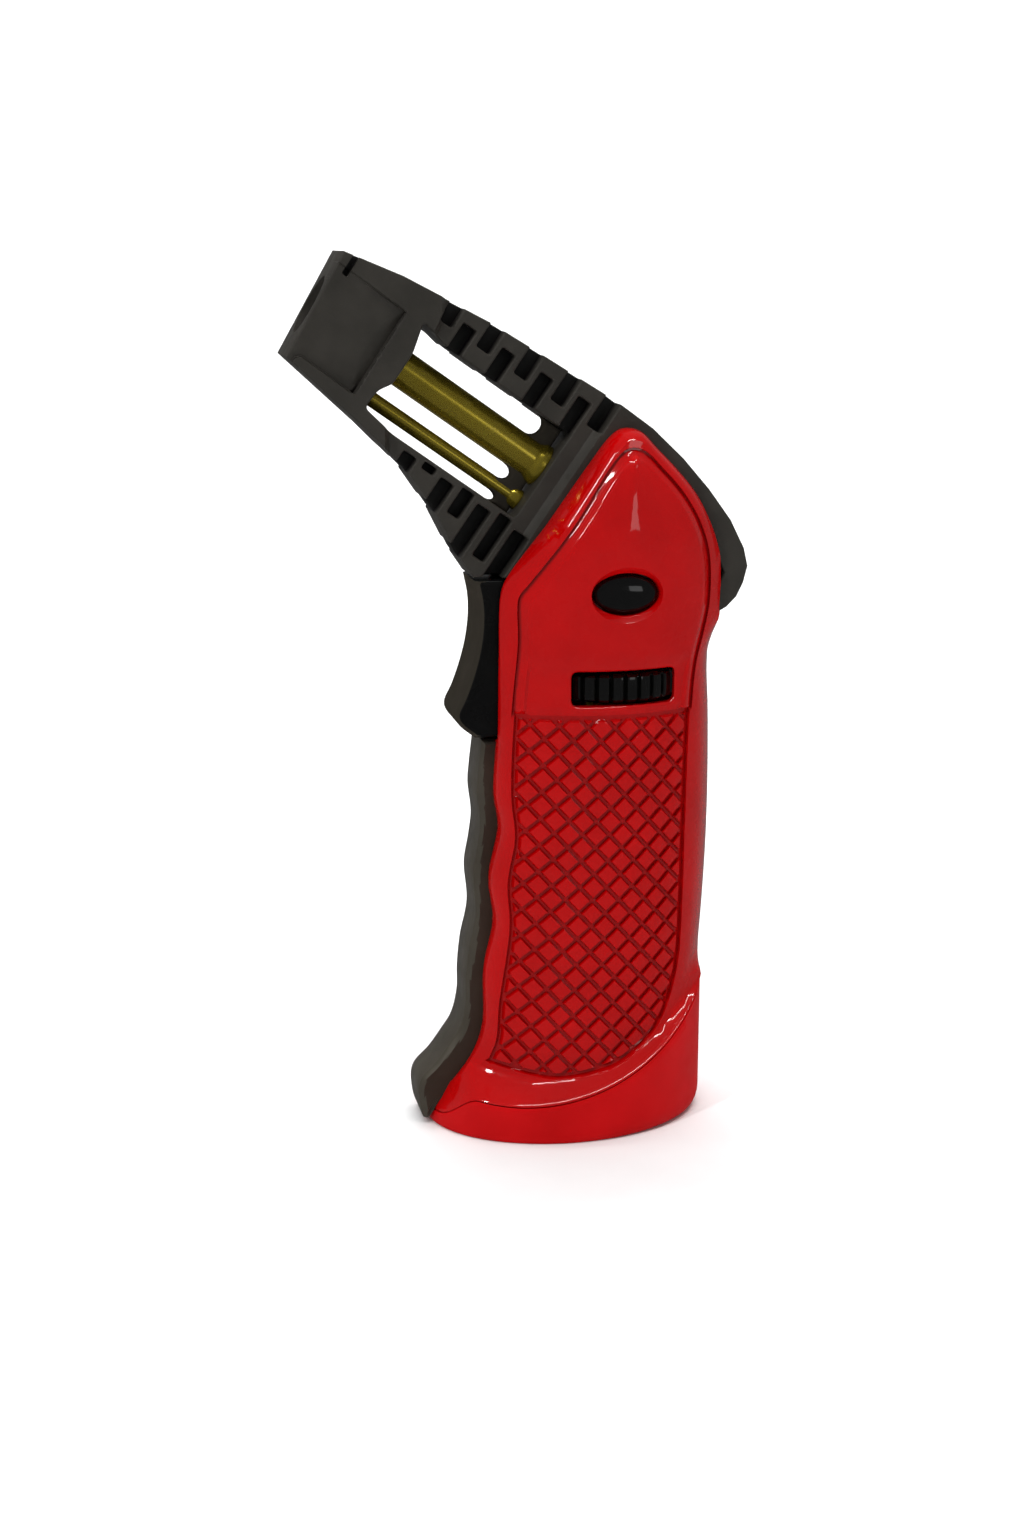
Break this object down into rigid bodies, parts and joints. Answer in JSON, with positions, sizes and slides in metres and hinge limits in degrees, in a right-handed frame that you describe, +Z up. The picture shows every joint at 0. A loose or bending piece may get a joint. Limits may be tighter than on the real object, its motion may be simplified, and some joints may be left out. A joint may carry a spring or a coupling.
{
  "type": "torch",
  "caption": "Pistol-grip jet torch with a trigger, flame wheel, lock button, refillable tank and an open ribbed head crossed by two brass tubes.",
  "frame": {"origin": "centre of the foot's resting face, in the plane of symmetry", "axes": "+Z up; -X is the way the nozzle points; -Y is the side with the lock button"},
  "size_m": [0.0855, 0.041, 0.165],
  "materials": {
    "red_gloss": "glossy red moulding",
    "red_matte": "fine grained red moulding",
    "frame_black": "grained charcoal moulding",
    "grip_gunmetal": "satin gunmetal",
    "trigger_black": "satin black",
    "gloss_black": "glossy black",
    "black_plastic": "plain black",
    "rubber": "matte",
    "wire_jacket": "soft jacket",
    "brass": "aged, polished",
    "steel": "brushed",
    "spring_steel": "drawn wire",
    "tank_plastic": "milky translucent plastic",
    "ceramic": "unglazed white"
  },
  "bodies": {
    "housing": {"left_shell": "red_gloss", "right_shell": "red_gloss", "base_foot": "red_matte", "frame_left": "frame_black", "frame_right": "frame_black", "tube_bracket": "frame_black", "front_grip": "grip_gunmetal", "piezo_body": "black_plastic", "gas_hose": "rubber", "outlet_seal": "rubber", "fill_seal": "rubber", "ignition_wire": "wire_jacket", "outlet_valve_body": "brass", "gas_jet": "brass", "burner_tube": "brass", "burner_collar": "brass", "ignition_conduit": "brass", "conduit_collar": "brass", "fill_valve_body": "brass", "fill_retainer": "brass", "lever_pin": "steel", "burner_nozzle": "steel", "flame_plate": "steel", "electrode": "steel", "wheel_clip": "steel", "shell_screws": "steel", "frame_screws": "steel", "trigger_spring": "spring_steel", "lock_spring": "spring_steel", "valve_spring": "spring_steel", "fill_spring": "spring_steel", "fuel_tank": "tank_plastic", "tank_lid": "tank_plastic", "dip_tube": "tank_plastic", "ceramic_insulator": "ceramic"},
    "trigger_unit": {"trigger": "trigger_black", "piezo_plunger": "steel"},
    "gas_lever": {"valve_lever": "steel"},
    "stem": {"valve_stem": "brass"},
    "wheel": {"flame_wheel": "gloss_black"},
    "lock": {"lock_button": "gloss_black"},
    "fill_poppet": {"fill_valve_stem": "brass"}
  },
  "joints": [
    {"name": "trigger_slide", "type": "slide", "parent": "housing", "child": "trigger_unit", "axis": [1, 0, 0], "range_m": [0, 0.0045], "stiffness_N_per_m": 1500, "deforming": ["trigger_spring"]},
    {"name": "lever_turn", "type": "hinge", "parent": "housing", "child": "gas_lever", "pos_m": [0.013, 0, 0.0925], "axis": [0, 1, 0], "range_deg": [0, 20]},
    {"name": "valve_lift", "type": "slide", "parent": "housing", "child": "stem", "axis": [0, 0, 1], "range_m": [0, 0.002], "deforming": ["valve_spring", "gas_hose"]},
    {"name": "wheel_turn", "type": "hinge", "parent": "housing", "child": "wheel", "pos_m": [0.008, 0, 0.0868], "axis": [0, 0, 1], "range_deg": [-135, 135]},
    {"name": "lock_press", "type": "slide", "parent": "housing", "child": "lock", "axis": [0, 1, 0], "range_m": [0, 0.002], "stiffness_N_per_m": 600, "deforming": ["lock_spring"]},
    {"name": "fill_press", "type": "slide", "parent": "housing", "child": "fill_poppet", "axis": [0, 0, 1], "range_m": [0, 0.0015], "stiffness_N_per_m": 800, "deforming": ["fill_spring"]}
  ],
  "couplings": [
    {"joint": "lever_turn", "follows": "trigger_slide", "rad_per_m": 76.889},
    {"joint": "valve_lift", "follows": "trigger_slide", "ratio": 0.4222}
  ]
}
